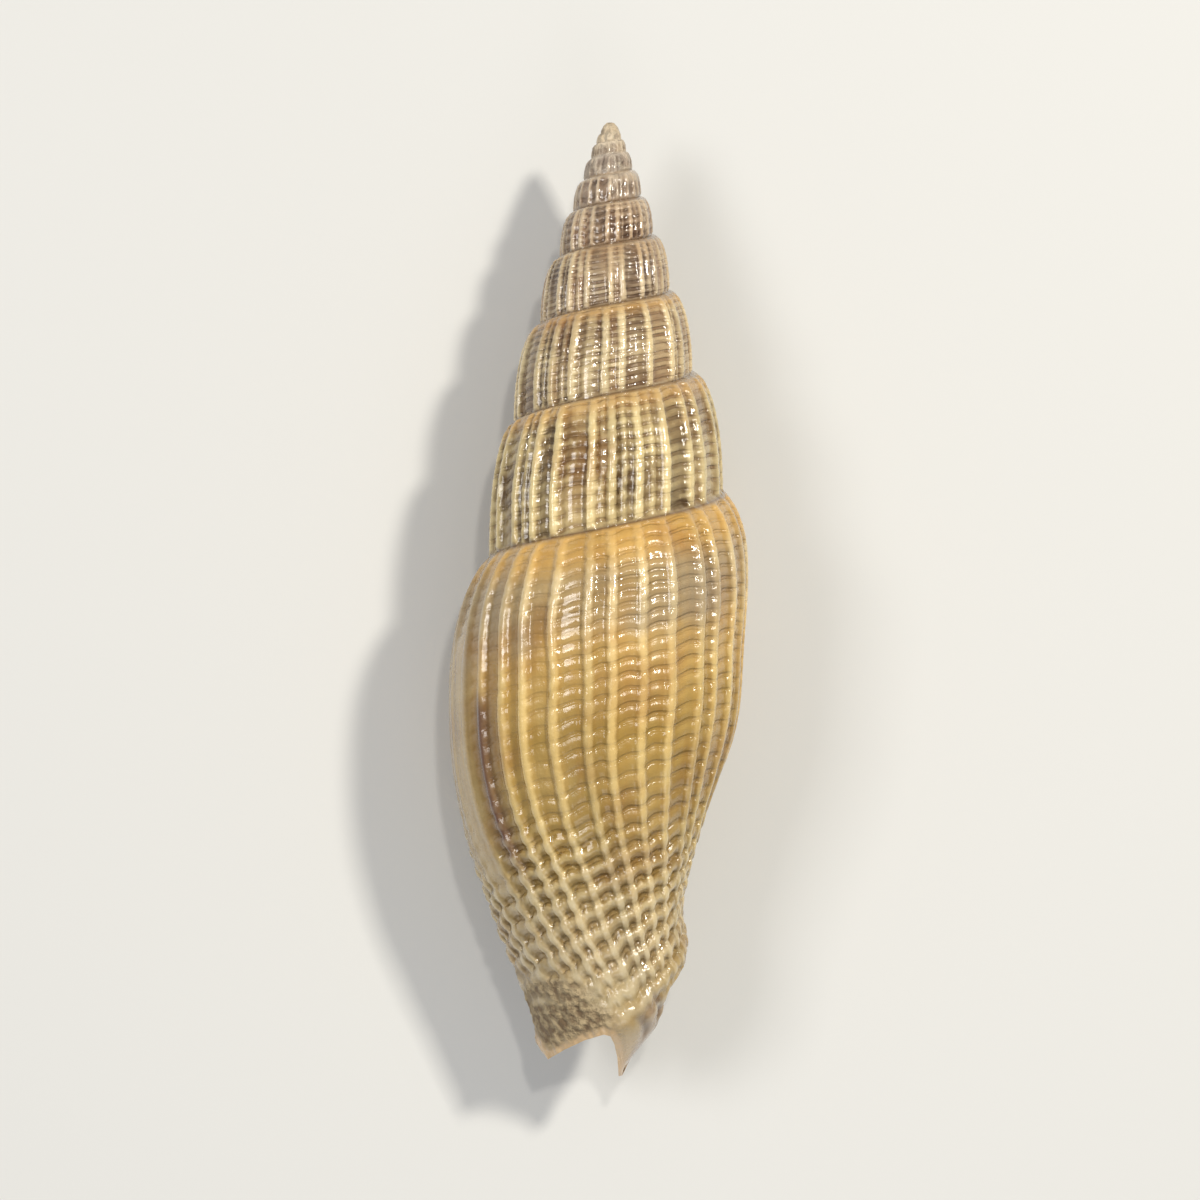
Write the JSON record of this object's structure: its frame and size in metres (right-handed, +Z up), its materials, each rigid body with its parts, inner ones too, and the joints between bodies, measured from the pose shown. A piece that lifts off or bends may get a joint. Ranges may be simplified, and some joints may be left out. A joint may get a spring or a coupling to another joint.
{
  "type": "spindle-shaped sea snail shell",
  "caption": "Slender spindle-shaped sea snail shell with a stepped, ribbed spire, a beaded base and a notched canal, lying on its mouth.",
  "frame": {"origin": "centre of the shell's box on the surface that it lies on", "axes": "+Y along the shell, towards the spire's tip; +Z up, away from the mouth; +X to the right, seen from above"},
  "size_m": [0.0142, 0.045, 0.0129],
  "materials": {
    "shell": "glossy natural shell: cream and ochre ribs, dark brown hollows on the spire, paler beaded base"
  },
  "bodies": {
    "root": {"shell": "shell"}
  },
  "joints": []
}
